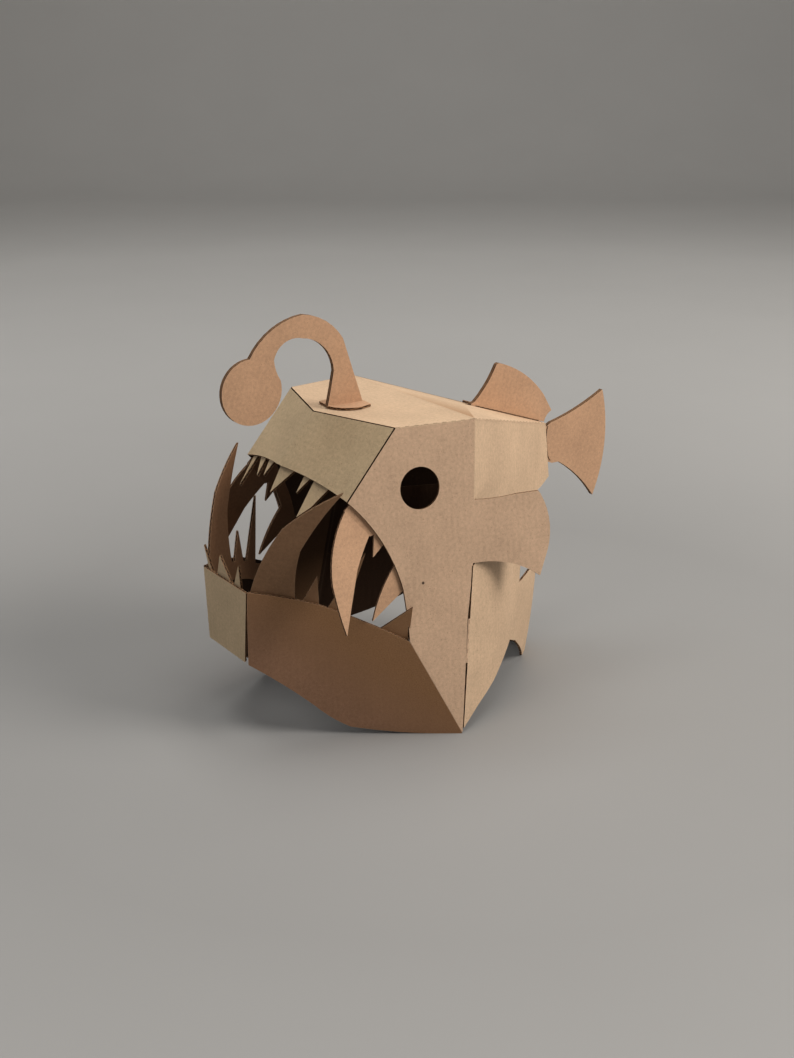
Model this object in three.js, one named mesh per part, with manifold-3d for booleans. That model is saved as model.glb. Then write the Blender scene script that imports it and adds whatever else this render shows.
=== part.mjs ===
// Anglerfish head mask, folded and slotted from single-wall corrugated board.
// Millimetres. The fish's left is +X, its mouth faces -Y, +Z is up. Corners are first placed with the
// table at Z = 0 and the middle line at X = 0, and the finished group is centred over its own box.

import * as THREE from 'three';
import { mergeVertices } from 'three/addons/utils/BufferGeometryUtils.js';
import Module from 'manifold-3d';

const wasm = await Module();
wasm.setup();

// Board and clearances
const board = 2.5;
const layers = 2;
const foldGap = 0.5;
const linerGap = 0.4;
const finRootClear = 2;
const softFoldOver = 0.05;
const slitGap = 1.4;
const roofSlotGap = 1.2;
const neckFoldGap = 3.2;
const tailEndGap = 2;
const finThick = layers * board;
const finHalf = finThick / 2;
const slotHalf = finHalf + roofSlotGap;
const liner = board + linerGap;
const jawLiner = board + foldGap;

// Size of the head
const headHeight = 300;
const eyeDiameter = 40;
const reach = 5 * headHeight;

// Smoothness of the curved edges
const arcStep = THREE.MathUtils.degToRad(9);
const arcChord = 9;
const eyeSides = 40;
const neckStations = 36;
const neckLevels = 4;

// Corners of the head on its left side, as shares of the head height
const corners = {
  crownPeak: { x: 0, y: -0.2533, z: 1 },
  crownFront: { x: 0.3183, y: -0.1533, z: 1 },
  crownRear: { x: 0.3617, y: 0.115, z: 1 },
  lipCorner: { x: 0.3187, y: -0.3263, z: 0.7927 },
  base: { x: 0.48, y: 0, z: 0 },
  mouthCorner: { x: 0.4097, y: -0.157, z: 0.3293 },
  chinTop: { x: 0.1467, y: -0.5887, z: 0.4983 },
  chinBottom: { x: 0.14, y: -0.5817, z: 0.26 },
  rearFoldTop: { x: 0.3927, y: 0.094, z: 0.748 },
  rearFoldFin: { x: 0.4173, y: 0.0737, z: 0.5457 },
  roofRise: { x: 0, y: 0.3333, z: 0.9433 },
  tailTop: { x: 0.0097, y: 0.69, z: 0.825 },
  neckSide: { x: 0.3853, y: 0.1917, z: 0.1007 },
  tuskTip: { x: 0.3387, y: -0.3593, z: 0.8363 },
};

const corner = {};
for (const [name, share] of Object.entries(corners)) {
  corner[name] = new THREE.Vector3(share.x, share.y, share.z).multiplyScalar(headHeight);
}

const across = new THREE.Vector3(1, 0, 0);
const back = new THREE.Vector3(0, 1, 0);
const up = new THREE.Vector3(0, 0, 1);

/** A flat plane of board: its outer face holds origin, u runs along the sheet, v up it, n out of it. */
function planeAt(origin, normal, along) {
  const n = normal.clone().normalize();
  const u = along.clone().addScaledVector(n, -along.dot(n)).normalize();
  const v = n.clone().cross(u);
  return { origin: origin.clone(), u, v, n };
}

/** The plane through three corners, its normal turned to the side that outward points to. */
function planeThrough(a, b, c, outward, along, origin = a) {
  const n = b.clone().sub(a).cross(c.clone().sub(a)).normalize();
  if (n.dot(outward) < 0) n.negate();
  return planeAt(origin, n, along);
}

/** The same plane moved inwards by a distance. */
function inside(plane, distance) {
  const origin = plane.origin.clone().addScaledVector(plane.n, -distance);
  return { ...plane, origin };
}

/** The plane of the matching piece on the fish's right side. */
function mirroredPlane(plane) {
  const flip = new THREE.Vector3(-1, 1, 1);
  const origin = plane.origin.clone().multiply(flip);
  return planeAt(origin, plane.n.clone().multiply(flip), across);
}

/** Points of the arc from one point to another that passes through a third, without its first point. */
function arcPoints(from, via, to) {
  const a = via.clone().sub(from);
  const b = to.clone().sub(from);
  const twice = 2 * a.cross(b);
  if (Math.abs(twice) < 1e-6) return [to];
  const centre = new THREE.Vector2(
    (b.y * a.lengthSq() - a.y * b.lengthSq()) / twice,
    (a.x * b.lengthSq() - b.x * a.lengthSq()) / twice,
  ).add(from);
  const radius = centre.distanceTo(from);
  const start = from.clone().sub(centre).angle();
  let turn = to.clone().sub(centre).angle() - start;
  const goesLeft = twice < 0;
  if (goesLeft && turn > 0) turn -= 2 * Math.PI;
  if (!goesLeft && turn < 0) turn += 2 * Math.PI;
  const byLength = Math.abs(turn) * radius / arcChord;
  const count = Math.max(2, Math.ceil(Math.max(Math.abs(turn) / arcStep, byLength)));
  return Array.from({ length: count }, (_, i) => {
    const angle = start + (turn * (i + 1)) / count;
    return new THREE.Vector2(Math.cos(angle), Math.sin(angle)).multiplyScalar(radius).add(centre);
  });
}

/** A closed outline from rows of corners; a row with viaU and viaV is reached by an arc through that. */
function outline(rows) {
  const points = [];
  rows.forEach((row, i) => {
    const last = rows[(i + rows.length - 1) % rows.length];
    const from = new THREE.Vector2(last.u, last.v).multiplyScalar(headHeight);
    const to = new THREE.Vector2(row.u, row.v).multiplyScalar(headHeight);
    if (row.viaU === undefined) {
      points.push(to);
      return;
    }
    const via = new THREE.Vector2(row.viaU, row.viaV).multiplyScalar(headHeight);
    points.push(...arcPoints(from, via, to));
  });
  return points;
}

/** A solid for joining and cutting, from a plain three.js geometry. */
function solidOf(geometry) {
  const bare = geometry.clone();
  bare.deleteAttribute('normal');
  bare.deleteAttribute('uv');
  const welded = mergeVertices(bare, 1e-4);
  const vertProperties = Float32Array.from(welded.getAttribute('position').array);
  const triVerts = Uint32Array.from(welded.getIndex().array);
  return new wasm.Manifold(new wasm.Mesh({ numProp: 3, vertProperties, triVerts }));
}

/** A sheet of board on a plane, from an outline in that plane; its outer face is on the plane. */
function sheet(plane, points, thickness = board) {
  const shape = new THREE.Shape(points);
  const geometry = new THREE.ExtrudeGeometry(shape, { depth: thickness, bevelEnabled: false });
  const base = plane.origin.clone().addScaledVector(plane.n, -thickness);
  const place = new THREE.Matrix4().makeBasis(plane.u, plane.v, plane.n).setPosition(base);
  return solidOf(geometry.applyMatrix4(place));
}

/** Everything on the far side of a plane, to cut a sheet with. */
function beyond(point, direction) {
  const geometry = new THREE.BoxGeometry(reach, reach, reach).translate(0, 0, reach / 2);
  const turn = new THREE.Quaternion().setFromUnitVectors(up, direction.clone().normalize());
  geometry.applyQuaternion(turn).translate(point.x, point.y, point.z);
  return solidOf(geometry);
}

/** Cuts a sheet back to the bisector of its fold with a neighbour, and keeps the side that holds middle. */
function mitre(solid, own, neighbour, foldPoint, middle, gap = foldGap) {
  const foldLine = own.n.clone().cross(neighbour.n);
  const bisector = own.n.clone().add(neighbour.n);
  const direction = foldLine.cross(bisector).normalize();
  if (middle.clone().sub(foldPoint).dot(direction) > 0) direction.negate();
  const cutPoint = foldPoint.clone().addScaledVector(direction, -gap / 2);
  return solid.subtract(beyond(cutPoint, direction));
}

/** The average of some corners. */
function middleOf(...points) {
  const sum = new THREE.Vector3();
  points.forEach((point) => sum.add(point));
  return sum.divideScalar(points.length);
}

/** A corner carried over to the fish's right side. */
function opposite(point) {
  return new THREE.Vector3(-point.x, point.y, point.z);
}

const c = corner;

// Planes of the folded panels, left side
const cheekPlane = planeThrough(c.crownFront, c.crownRear, c.base, across, back, c.base);
const crownPlane = planeAt(c.crownPeak, up, across);
const forward = back.clone().negate();
const snoutPlane = planeThrough(c.crownFront, c.crownPeak, c.lipCorner, forward, across, c.crownPeak);
const jawPlane = planeThrough(c.chinTop, c.mouthCorner, c.base, across, back, c.base);
const jawLength = c.mouthCorner.clone().sub(c.chinTop);
const chinPlane = planeAt(new THREE.Vector3(0, c.chinTop.y, 0), forward, across);
const tailward = new THREE.Vector3(-0.6, 0.8, 0);
const tailPlane = planeThrough(c.crownRear, c.rearFoldTop, c.tailTop, across, tailward, c.rearFoldTop);
const roofFrontPlane = planeThrough(c.crownRear, opposite(c.crownRear), c.roofRise, up, across);
const roofSidePlane = planeThrough(c.crownRear, c.roofRise, c.tailTop, up, across);
const neckFoldPlane = planeThrough(c.base, c.rearFoldFin, c.neckSide, across, back);

// A point well inside each panel, to tell which side of a fold's cut is kept
const cheekMiddle = middleOf(c.crownFront, c.crownRear, c.base);
const tailMiddle = middleOf(c.crownRear, c.rearFoldTop, c.tailTop);
const snoutMiddle = middleOf(c.crownFront, c.crownPeak, c.lipCorner);
const jawMiddle = middleOf(c.chinTop, c.mouthCorner, c.chinBottom);

/** The corner points of a panel in its own plane. */
function inPlane(plane, points) {
  return points.map((point) => {
    const offset = point.clone().sub(plane.origin);
    return new THREE.Vector2(offset.dot(plane.u), offset.dot(plane.v));
  });
}

/** The flat top, folded down to the snout, both cheeks and the tail roof. */
function crownPanel() {
  const edge = [c.crownPeak, c.crownFront, c.crownRear, opposite(c.crownRear), opposite(c.crownFront)];
  const middle = middleOf(c.crownPeak, c.crownRear, opposite(c.crownRear));
  let solid = sheet(crownPlane, inPlane(crownPlane, edge));
  solid = mitre(solid, crownPlane, snoutPlane, c.crownPeak, middle, slitGap);
  solid = mitre(solid, crownPlane, mirroredPlane(snoutPlane), c.crownPeak, middle, slitGap);
  solid = mitre(solid, crownPlane, cheekPlane, c.crownRear, middle);
  solid = mitre(solid, crownPlane, mirroredPlane(cheekPlane), opposite(c.crownRear), middle);
  return mitre(solid, crownPlane, roofFrontPlane, c.crownRear, middle);
}

// Lower edge of the snout, in the snout's plane from the crown's peak
const lipRows = [
  { u: 0.328, v: -0.2057 },
  { u: 0.013, v: -0.2027, viaU: 0.1467, viaV: -0.1953 },
  { u: 0, v: -0.202 },
];

/** Left half of a sheet that is softly folded on the middle line, with a little over to join it by. */
function leftHalf(solid) {
  const over = new THREE.Vector3(-softFoldOver, 0, 0);
  return solid.subtract(beyond(over, across.clone().negate()));
}

/** Two facets over the mouth, softly folded along the middle line. */
function snoutPanel() {
  const top = inPlane(snoutPlane, [c.crownPeak, c.crownFront]);
  const points = [...outline(lipRows).slice(2), top[0], top[1], outline(lipRows.slice(0, 1))[0]];
  const half = leftHalf(sheet(snoutPlane, points));
  let solid = mitre(half, snoutPlane, crownPlane, c.crownPeak, snoutMiddle, slitGap);
  solid = mitre(solid, snoutPlane, cheekPlane, c.lipCorner, snoutMiddle, slitGap);
  return solid.add(mirrored(solid));
}

// The cheek in its own plane, from the corner on the table: u towards the back, v up.
// The side fin is the stretch from the fold's top to the fold at the fin.
const cheekRows = [
  { u: 0, v: 0 },
  { u: -0.159, v: 0.336 },
  { u: -0.168, v: 0.5087, viaU: -0.161, viaV: 0.42 },
  { u: -0.3303, v: 0.8073, viaU: -0.22, viaV: 0.656 },
  { u: -0.1557, v: 1.0093 },
  { u: 0.1187, v: 1.017 },
  { u: 0.095, v: 0.7527 },
  { u: 0.319, v: 0.7597, viaU: 0.2, viaV: 0.748 },
  { u: 0.3377, v: 0.5273, viaU: 0.3607, viaV: 0.6267 },
  { u: 0.3147, v: 0.471 },
  { u: 0.0773, v: 0.551, viaU: 0.196, viaV: 0.534 },
  { u: 0.0453, v: 0.374 },
  { u: 0.0277, v: 0.2267 },
];
const eyeCentre = { u: -0.087, v: 0.8163 };

/** A round hole through a panel, at a point of its plane. */
function roundHole(plane, centre, diameter) {
  const depth = 4 * board;
  const geometry = new THREE.CylinderGeometry(diameter / 2, diameter / 2, depth, eyeSides);
  geometry.rotateX(Math.PI / 2).translate(centre.u * headHeight, centre.v * headHeight, 0);
  const place = new THREE.Matrix4().makeBasis(plane.u, plane.v, plane.n).setPosition(plane.origin);
  return solidOf(geometry.applyMatrix4(place));
}

/** The large side panel with the eye and the side fin. */
function leftCheek() {
  let solid = sheet(cheekPlane, outline(cheekRows)).subtract(roundHole(cheekPlane, eyeCentre, eyeDiameter));
  solid = mitre(solid, cheekPlane, crownPlane, c.crownRear, cheekMiddle);
  solid = mitre(solid, cheekPlane, snoutPlane, c.lipCorner, cheekMiddle, slitGap);
  solid = mitre(solid, cheekPlane, jawPlane, c.mouthCorner, cheekMiddle);
  const belowFold = beyond(c.rearFoldTop, up.clone().negate());
  const upper = mitre(solid.subtract(belowFold), cheekPlane, tailPlane, c.rearFoldTop, cheekMiddle);
  const lower = solid.intersect(belowFold);
  const finRoot = c.rearFoldFin.clone().addScaledVector(cheekPlane.u, finRootClear);
  const finSide = beyond(finRoot, cheekPlane.u);
  const aboveNeck = beyond(c.rearFoldFin.clone().addScaledVector(up, -finRootClear), up);
  const fin = lower.intersect(finSide.add(aboveNeck));
  const belowFin = lower.subtract(finSide).subtract(aboveNeck);
  const rear = mitre(belowFin, cheekPlane, neckFoldPlane, c.base, cheekMiddle);
  return upper.add(fin).add(rear);
}

// The jaw side in its own plane, from the corner on the table
const jawRows = [
  { u: 0, v: 0 },
  { u: -0.3603, v: 0.0087, viaU: -0.2, viaV: -0.004 },
  { u: -0.475, v: 0.0787, viaU: -0.4133, viaV: 0.0343 },
  { u: -0.69, v: 0.217, viaU: -0.5867, viaV: 0.156 },
  { u: -0.6997, v: 0.4683 },
  { u: -0.477, v: 0.4367, viaU: -0.5867, viaV: 0.4567 },
  { u: -0.1873, v: 0.321, viaU: -0.3467, viaV: 0.39 },
];

/** The lower side panel with the curved bottom. */
function leftJawSide() {
  let solid = sheet(jawPlane, outline(jawRows));
  solid = mitre(solid, jawPlane, cheekPlane, c.mouthCorner, jawMiddle);
  solid = mitre(solid, jawPlane, chinPlane, c.chinTop, jawMiddle, slitGap);
  return solid.subtract(beyond(new THREE.Vector3(), up.clone().negate()));
}

/** The upright rectangle at the chin. */
function jawFront() {
  const edge = [c.chinTop, opposite(c.chinTop), opposite(c.chinBottom), c.chinBottom];
  const middle = middleOf(...edge);
  let solid = sheet(chinPlane, inPlane(chinPlane, edge));
  solid = mitre(solid, chinPlane, jawPlane, c.chinTop, middle, slitGap);
  return mitre(solid, chinPlane, mirroredPlane(jawPlane), opposite(c.chinTop), middle, slitGap);
}

/** The triangle from the crown down to the tail, with the slot of the upright fin along its middle. */
function tailRoof() {
  const frontEdge = [c.crownRear, opposite(c.crownRear), c.roofRise];
  const sideEdge = [c.crownRear, c.roofRise, c.tailTop];
  const front = sheet(roofFrontPlane, inPlane(roofFrontPlane, frontEdge));
  const left = sheet(roofSidePlane, inPlane(roofSidePlane, sideEdge));
  let solid = front.add(left).add(mirrored(left));
  const middle = c.roofRise;
  solid = mitre(solid, roofFrontPlane, crownPlane, c.crownRear, middle);
  solid = mitre(solid, roofSidePlane, tailPlane, c.tailTop, middle);
  solid = mitre(solid, mirroredPlane(roofSidePlane), mirroredPlane(tailPlane), opposite(c.tailTop), middle);
  return solid.subtract(slotBox());
}

/** The upright slot on the middle line that both fins stand in. */
function slotBox() {
  const geometry = new THREE.BoxGeometry(2 * slotHalf, reach, reach);
  geometry.translate(0, c.roofRise.y + reach / 2, 0);
  return solidOf(geometry);
}

// The tail panel in its own plane, from the top of the rear fold: u along to the tail top, v up
const tailRows = [
  { u: 0, v: 0 },
  { u: 0.0233, v: 0.2633 },
  { u: 0.7333, v: 0.0667 },
  { u: 0.7333, v: -0.12 },
  { u: 0.6333, v: -0.1367 },
  { u: -0.0133, v: -0.18, viaU: 0.3333, viaV: -0.1533 },
];

/** The triangular side under the tail roof. */
function leftTailPanel() {
  let solid = sheet(tailPlane, outline(tailRows));
  solid = mitre(solid, tailPlane, roofSidePlane, c.tailTop, tailMiddle);
  const finRegion = beyond(c.rearFoldTop, up.clone().negate());
  const clear = cheekPlane.origin.clone().addScaledVector(cheekPlane.n, -board - foldGap);
  const lower = solid.intersect(finRegion).subtract(beyond(clear, cheekPlane.n));
  const upper = mitre(solid.subtract(finRegion), tailPlane, cheekPlane, c.rearFoldTop, tailMiddle);
  const end = new THREE.Vector3(finHalf + tailEndGap, 0, 0);
  return upper.add(lower).subtract(beyond(end, across.clone().negate()));
}

// Sections of the neck panel from the cheek's fold round to the middle of the back: plan position at the
// table and at the rim level, height of the lower edge and of the upper edge, bulge at half height.
const rimLevel = 0.5667;
const neckRows = [
  { lowX: 0.48, lowY: 0, rimX: 0.4147, rimY: 0.0767, bottom: 0.012, top: 0.532, bulge: 0 },
  { lowX: 0.4467, lowY: 0.08, rimX: 0.3867, rimY: 0.16, bottom: 0.0597, top: 0.6, bulge: 0 },
  { lowX: 0.3933, lowY: 0.18, rimX: 0.3467, rimY: 0.2533, bottom: 0.1007, top: 0.62, bulge: 0 },
  { lowX: 0.3433, lowY: 0.2533, rimX: 0.3033, rimY: 0.3267, bottom: 0.144, top: 0.62, bulge: 0 },
  { lowX: 0.2983, lowY: 0.32, rimX: 0.28, rimY: 0.35, bottom: 0.1833, top: 0.62, bulge: 0 },
  { lowX: 0.2267, lowY: 0.3967, rimX: 0.253, rimY: 0.4073, bottom: 0.1433, top: 0.62, bulge: 0 },
  { lowX: 0.15, lowY: 0.4817, rimX: 0.17, rimY: 0.5167, bottom: 0.0633, top: 0.36, bulge: 0.0067 },
  { lowX: 0.0897, lowY: 0.545, rimX: 0.1143, rimY: 0.5787, bottom: 0, top: 0.36, bulge: 0.0133 },
  { lowX: 0.0433, lowY: 0.595, rimX: 0.0513, rimY: 0.626, bottom: 0, top: 0.24, bulge: 0.0133 },
  { lowX: 0.001, lowY: 0.6133, rimX: 0.001, rimY: 0.6383, bottom: 0, top: 0.2, bulge: 0.01 },
];

// Step in the neck panel's upper edge, in an upright plane from its lower corner
const stepCorner = { x: 0.2387, y: 0.396, z: 0.3613 };
const stepFacing = new THREE.Vector3(0.81, 0.58, 0);
const stepRows = [
  { u: 0, v: 0 },
  { u: 0.15, v: 0.0021 },
  { u: 0.15, v: 0.3 },
  { u: 0.03, v: 0.3 },
  { u: -0.0027, v: 0.06 },
];

/** The value of one column of the neck table at a place between its rows. */
function neckValue(column, place) {
  const row = Math.min(Math.floor(place), neckRows.length - 2);
  const share = place - row;
  return headHeight * THREE.MathUtils.lerp(neckRows[row][column], neckRows[row + 1][column], share);
}

/** The curved sheet round the back of the head, ruled from the table line to the rim line. */
function leftNeckPanel() {
  const low = neckRows.map((row) => new THREE.Vector3(row.lowX, row.lowY, 0));
  const rim = neckRows.map((row) => new THREE.Vector3(row.rimX, row.rimY, rimLevel));
  [...low, ...rim].forEach((point) => point.multiplyScalar(headHeight));
  const lowCurve = new THREE.CatmullRomCurve3(low);
  const rimCurve = new THREE.CatmullRomCurve3(rim);
  const rimHeight = rimLevel * headHeight;
  const positions = [];
  const faces = [];
  for (let i = 0; i <= neckStations; i += 1) {
    const share = i / neckStations;
    const place = share * (neckRows.length - 1);
    const ends = [lowCurve.getPoint(share), rimCurve.getPoint(share)];
    const run = lowCurve.getTangent(share).add(rimCurve.getTangent(share));
    const inward = new THREE.Vector3(-run.y, run.x, 0).normalize().multiplyScalar(board);
    const bottom = neckValue('bottom', place);
    const top = neckValue('top', place);
    for (let level = 0; level <= neckLevels; level += 1) {
      const height = THREE.MathUtils.lerp(bottom, top, level / neckLevels);
      const rise = height / rimHeight;
      const bulge = -4 * rise * (1 - rise) * neckValue('bulge', place) / board;
      const outer = ends[0].clone().lerp(ends[1], rise).setZ(height).addScaledVector(inward, bulge);
      positions.push(...outer.toArray(), ...outer.clone().add(inward).toArray());
    }
  }
  const ring = 2 * (neckLevels + 1);
  const around = [];
  for (let level = 0; level <= neckLevels; level += 1) around.push(2 * level);
  for (let level = neckLevels; level >= 0; level -= 1) around.push(2 * level + 1);
  for (let i = 0; i < neckStations; i += 1) {
    const a = ring * i;
    const b = a + ring;
    around.forEach((p, j) => {
      const q = around[(j + 1) % ring];
      faces.push(a + p, b + p, b + q, a + p, b + q, a + q);
    });
  }
  const last = ring * neckStations;
  for (let level = 0; level < neckLevels; level += 1) {
    const p = 2 * level;
    faces.push(p, p + 2, p + 3, p, p + 3, p + 1);
    faces.push(last + p, last + p + 3, last + p + 2, last + p, last + p + 1, last + p + 3);
  }
  const geometry = new THREE.BufferGeometry();
  geometry.setAttribute('position', new THREE.Float32BufferAttribute(positions, 3));
  geometry.setIndex(faces);
  const stepOrigin = new THREE.Vector3(stepCorner.x, stepCorner.y, stepCorner.z).multiplyScalar(headHeight);
  const stepPlane = planeAt(stepOrigin, stepFacing, back);
  const step = sheet(inside(stepPlane, -4 * board), outline(stepRows), 8 * board);
  const seam = new THREE.Vector3(foldGap / 2, 0, 0);
  const solid = solidOf(geometry).subtract(step).subtract(beyond(seam, across.clone().negate()));
  return mitre(solid, neckFoldPlane, cheekPlane, c.base, c.neckSide, neckFoldGap);
}

// Upper teeth behind the left facet of the snout, in the facet's plane from the crown's peak
const upperFrontLeft = [
  { u: 0, v: -0.12 },
  { u: 0, v: -0.1917 },
  { u: 0.0253, v: -0.2917 },
  { u: 0.0653, v: -0.1917 },
  { u: 0.1113, v: -0.1917 },
  { u: 0.1207, v: -0.254 },
  { u: 0.1387, v: -0.1917 },
  { u: 0.1567, v: -0.1917 },
  { u: 0.176, v: -0.3193 },
  { u: 0.205, v: -0.2717 },
  { u: 0.2273, v: -0.1917 },
  { u: 0.28, v: -0.1917 },
  { u: 0.28, v: -0.12 },
];
const upperFrontRight = [
  { u: 0, v: -0.12 },
  { u: -0.29, v: -0.12 },
  { u: -0.29, v: -0.1917 },
  { u: -0.2483, v: -0.3103 },
  { u: -0.2527, v: -0.1917 },
  { u: -0.219, v: -0.1917 },
  { u: -0.1503, v: -0.2593 },
  { u: -0.1677, v: -0.1917 },
  { u: -0.132, v: -0.1917 },
  { u: -0.0937, v: -0.2513 },
  { u: -0.0807, v: -0.1917 },
  { u: 0, v: -0.1917 },
];

/** Six pointed teeth on one strip behind the snout. */
function upperFrontTeeth() {
  const leftPlane = inside(snoutPlane, liner);
  const rightPlane = inside(mirroredPlane(snoutPlane), liner);
  const left = leftHalf(sheet(leftPlane, outline(upperFrontLeft)));
  const right = sheet(rightPlane, outline(upperFrontRight));
  return left.add(mirrored(leftHalf(mirrored(right))));
}

// Liner inside the cheek, in the cheek's plane: the fang's root line, a small tooth, a middle fang
const upperSideRows = [
  { u: -0.3383, v: 0.7797 },
  { u: -0.262, v: 0.6897 },
  { u: -0.2477, v: 0.6933 },
  { u: -0.2563, v: 0.6233 },
  { u: -0.216, v: 0.66 },
  { u: -0.1867, v: 0.5867 },
  { u: -0.2743, v: 0.423, viaU: -0.2387, viaV: 0.5087 },
  { u: -0.165, v: 0.502 },
  { u: -0.12, v: 0.5067 },
  { u: -0.2, v: 0.7133, viaU: -0.1483, viaV: 0.6133 },
  { u: -0.26, v: 0.8533 },
  { u: -0.306, v: 0.81 },
];

// The long fang, bent out of the cheek's plane along its root line: u back, v up from the line's front end
const fangRoot = { u: -0.337, v: 0.7807 };
const fangRootLine = { u: 0.648, v: -0.762 };
const fangLean = THREE.MathUtils.degToRad(16);
const fangRows = [
  { u: 0.0133, v: 0.01 },
  { u: -0.0877, v: -0.2133, viaU: -0.063, viaV: -0.105 },
  { u: -0.0687, v: -0.371, viaU: -0.0827, viaV: -0.28 },
  { u: 0.009, v: -0.182, viaU: -0.0343, viaV: -0.2867 },
  { u: 0.0867, v: -0.0717, viaU: 0.041, viaV: -0.1313 },
];

/** The liner inside the cheek with the long fang, which hangs outside the jaw. */
function leftUpperFangs() {
  const plane = inside(cheekPlane, liner);
  const root = plane.origin.clone();
  root.addScaledVector(plane.u, fangRoot.u * headHeight).addScaledVector(plane.v, fangRoot.v * headHeight);
  const away = plane.u.clone().multiplyScalar(fangRootLine.v).addScaledVector(plane.v, -fangRootLine.u);
  const normal = plane.n.clone().multiplyScalar(Math.cos(fangLean));
  normal.addScaledVector(away, -Math.sin(fangLean));
  const fang = sheet(planeAt(root, normal, back), outline(fangRows));
  return sheet(plane, outline(upperSideRows)).add(fang.subtract(beyond(root, away.negate())));
}

// Lower side teeth, in a plane just inside the top of the jaw side that leans out to the tusk's tip
const lowerSideRows = [
  { u: 0.03, v: -0.0467 },
  { u: 0.0107, v: 0.0017 },
  { u: 0.0433, v: 0.2433, viaU: 0.0153, viaV: 0.1233 },
  { u: 0.1813, v: 0.415, viaU: 0.1, viaV: 0.326 },
  { u: 0.1157, v: 0.1893, viaU: 0.1387, viaV: 0.29 },
  { u: 0.152, v: 0.0167, viaU: 0.1247, viaV: 0.11 },
  { u: 0.172, v: 0.0167 },
  { u: 0.19, v: 0.1213 },
  { u: 0.2287, v: 0.02 },
  { u: 0.2517, v: 0.02 },
  { u: 0.3053, v: 0.244 },
  { u: 0.3113, v: 0.0133 },
  { u: 0.4287, v: 0.0067 },
  { u: 0.503, v: 0.114 },
  { u: 0.532, v: -0.02 },
  { u: 0.5133, v: -0.0633 },
  { u: 0.2667, v: -0.04 },
];

/** The room a cheek takes up, with a clearance round it and before its front edge. */
function cheekRoom() {
  const plane = inside(cheekPlane, -linerGap);
  const origin = plane.origin.clone().addScaledVector(plane.u, -2 * linerGap);
  const points = outline(cheekRows);
  const depth = board + 2 * linerGap;
  return sheet(plane, points, depth).add(sheet({ ...plane, origin }, points, depth));
}

/** The liner inside the jaw side with the tusk and three smaller teeth. */
function leftLowerTeeth() {
  const front = c.chinTop.clone().addScaledVector(jawPlane.n, -jawLiner);
  const rear = c.mouthCorner.clone().addScaledVector(jawPlane.n, -jawLiner);
  const plane = planeThrough(front, rear, c.tuskTip, across, jawLength);
  return sheet(plane, outline(lowerSideRows)).subtract(cheekRoom());
}

// Lower front teeth behind the chin, in an upright plane that leans forward, heights from the table
const frontLean = 0.1;
const lowerFrontRows = [
  { u: -0.1217, v: 0.4333 },
  { u: -0.1217, v: 0.4883 },
  { u: -0.141, v: 0.5767 },
  { u: -0.1, v: 0.4883 },
  { u: -0.072, v: 0.4883 },
  { u: -0.032, v: 0.5717 },
  { u: 0.032, v: 0.4883 },
  { u: 0.0413, v: 0.4883 },
  { u: 0.0947, v: 0.5773 },
  { u: 0.0893, v: 0.4883 },
  { u: 0.1217, v: 0.4883 },
  { u: 0.1217, v: 0.4333 },
];

/** Three teeth on a strip behind the chin. */
function lowerFrontTeeth() {
  const lean = new THREE.Vector3(0, -1, -frontLean);
  const origin = new THREE.Vector3(0, c.chinTop.y + liner + frontLean * c.chinTop.z, 0);
  return sheet(planeAt(origin, lean, across), outline(lowerFrontRows));
}

/** The upright plane on the left face of a sheet that stands on the middle line: u back, v up. */
function uprightPlane() {
  return planeAt(new THREE.Vector3(finHalf, 0, 0), across, back);
}

// Side view of the lure: u towards the back, v up from the table
const lureRows = [
  { u: -0.073, v: 1.0067 },
  { u: -0.2047, v: 1.0067 },
  { u: -0.1797, v: 1.1223, viaU: -0.19, viaV: 1.07 },
  { u: -0.292, v: 1.2373, viaU: -0.21, viaV: 1.1967 },
  { u: -0.3937, v: 1.18, viaU: -0.36, viaV: 1.2273 },
  { u: -0.3723, v: 1.1153, viaU: -0.388, viaV: 1.1487 },
  { u: -0.4777, v: 1.193, viaU: -0.548, viaV: 1.017 },
  { u: -0.2877, v: 1.3107, viaU: -0.4, viaV: 1.2727 },
  { u: -0.1447, v: 1.2217, viaU: -0.205, viaV: 1.282 },
];

// Tabs of the lure on the crown, in plan: u out from the middle line, v back
const lureLeftTab = [
  { u: 0, v: -0.2033 },
  { u: 0.0733, v: -0.12, viaU: 0.0467, viaV: -0.1833 },
  { u: 0.0567, v: -0.0733 },
  { u: 0, v: -0.0667 },
];
const lureRightTab = [
  { u: 0, v: -0.2 },
  { u: 0, v: -0.07 },
  { u: -0.0533, v: -0.0767 },
  { u: -0.0633, v: -0.1933, viaU: -0.0733, viaV: -0.1333 },
];

/** The hooked stalk and its bulb, with a tab to each side that lies on the crown. */
function lureSolid() {
  const tabPlane = inside(crownPlane, -liner);
  tabPlane.origin.set(0, 0, tabPlane.origin.z);
  const stalk = sheet(uprightPlane(), outline(lureRows), finThick);
  const tabs = sheet(tabPlane, outline(lureLeftTab)).add(sheet(tabPlane, outline(lureRightTab)));
  return stalk.add(tabs);
}

// Side view of the upright fin on the roof, with the foot that stands in the slot
const dorsalRows = [
  { u: 0.3753, v: 0.9443 },
  { u: 0.4653, v: 1.0627, viaU: 0.4253, viaV: 0.998 },
  { u: 0.4747, v: 1.0663 },
  { u: 0.6747, v: 0.9297, viaU: 0.59, viaV: 1.0113 },
  { u: 0.7113, v: 0.869 },
  { u: 0.679, v: 0.8313, viaU: 0.6893, viaV: 0.8517 },
  { u: 0.6567, v: 0.8387 },
  { u: 0.65, v: 0.8133 },
  { u: 0.3533, v: 0.91 },
  { u: 0.36, v: 0.94 },
];

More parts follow.
